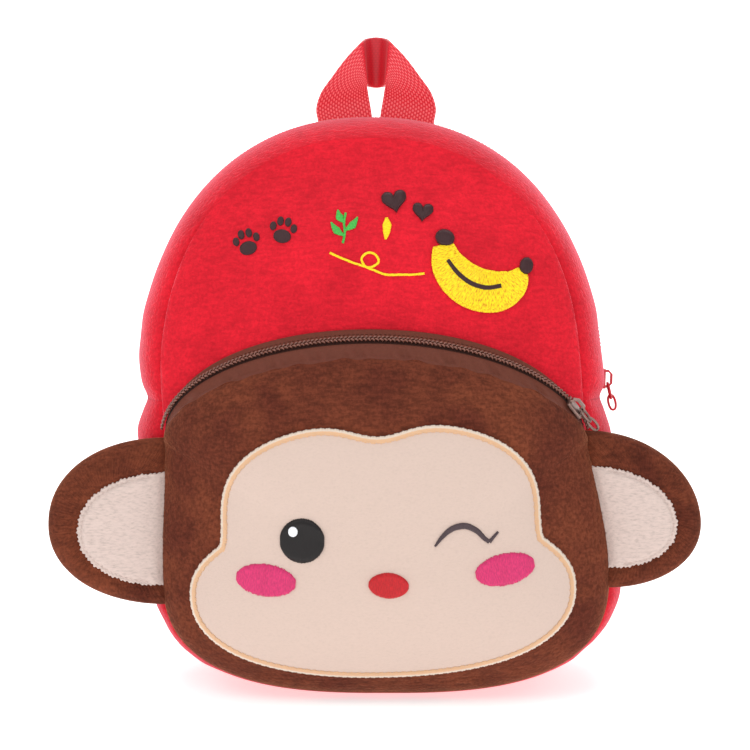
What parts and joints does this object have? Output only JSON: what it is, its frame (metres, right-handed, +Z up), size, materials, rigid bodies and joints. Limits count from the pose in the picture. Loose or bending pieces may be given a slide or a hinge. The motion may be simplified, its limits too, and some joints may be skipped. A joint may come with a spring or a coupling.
{
  "type": "plush animal backpack",
  "caption": "Small child's plush backpack with a zipped main bag, an arched front pocket with an animal face, sewn ears, a webbing carrying loop and two shoulder straps.",
  "frame": {"origin": "middle of the flat base, on the surface that the bag stands on", "axes": "+Z up, the front with its pocket faces -Y, the wearer's back is at +Y, +X is to the right seen from the front"},
  "size_m": [0.2747, 0.1785, 0.2855],
  "materials": {
    "red_plush": "short cut pile, soft sheen",
    "brown_plush": "short cut pile, soft sheen",
    "face_velour": "fine velour",
    "ear_velour": "fine velour",
    "black_thread": "satin stitch",
    "grey_thread": "satin stitch",
    "red_thread": "satin stitch",
    "pink_thread": "satin stitch",
    "dark_thread": "satin stitch",
    "yellow_thread": "satin stitch",
    "red_webbing": "plain woven, slight gloss",
    "red_tape": "fine woven tape",
    "brown_tape": "fine woven tape",
    "red_coil": "moulded coil",
    "brown_coil": "moulded coil",
    "red_metal": "gloss paint",
    "pewter_metal": "dull brown plating",
    "red_plastic": "moulded"
  },
  "bodies": {
    "bag": {"front_panel": "red_plush", "back_panel": "red_plush", "gusset_lower": "red_plush", "gusset_zip_front": "red_plush", "gusset_zip_back": "red_plush", "main_tape_front": "red_tape", "main_tape_back": "red_tape", "main_coil": "red_coil", "main_slider": "red_metal", "pocket_panel": "brown_plush", "pocket_tape_lower": "brown_tape", "pocket_tape_upper": "brown_tape", "pocket_coil": "brown_coil", "pocket_slider": "pewter_metal", "face_applique": "face_velour", "eye": "black_thread", "wink": "grey_thread", "nose": "red_thread", "cheek_left": "pink_thread", "cheek_right": "pink_thread", "heart_large": "dark_thread", "heart_small": "dark_thread", "banana": "yellow_thread", "ear_left": "brown_plush", "ear_right": "brown_plush", "ear_patch_left": "ear_velour", "ear_patch_right": "ear_velour", "carrying_loop": "red_webbing", "strap_upper_left": "red_webbing", "strap_upper_right": "red_webbing", "strap_lower_left": "red_webbing", "strap_lower_right": "red_webbing", "strap_buckle_left": "red_plastic", "strap_buckle_right": "red_plastic"},
    "main_pull": {"main_pull_ring": "red_metal", "main_pull_link": "red_metal"},
    "pocket_pull": {"pocket_pull_ring": "pewter_metal", "pocket_pull_link": "pewter_metal"}
  },
  "joints": [
    {"name": "main_pull_swing", "type": "hinge", "parent": "bag", "child": "main_pull", "pos_m": [0.10254, 0.00248, 0.12996], "axis": [0.0006, -0.9998, 0.0185], "range_deg": [0, 140]},
    {"name": "pocket_pull_swing", "type": "hinge", "parent": "bag", "child": "pocket_pull", "pos_m": [0.08567, -0.04836, 0.12289], "axis": [-0.1313, -0.8842, -0.4484], "range_deg": [0, 150]}
  ]
}
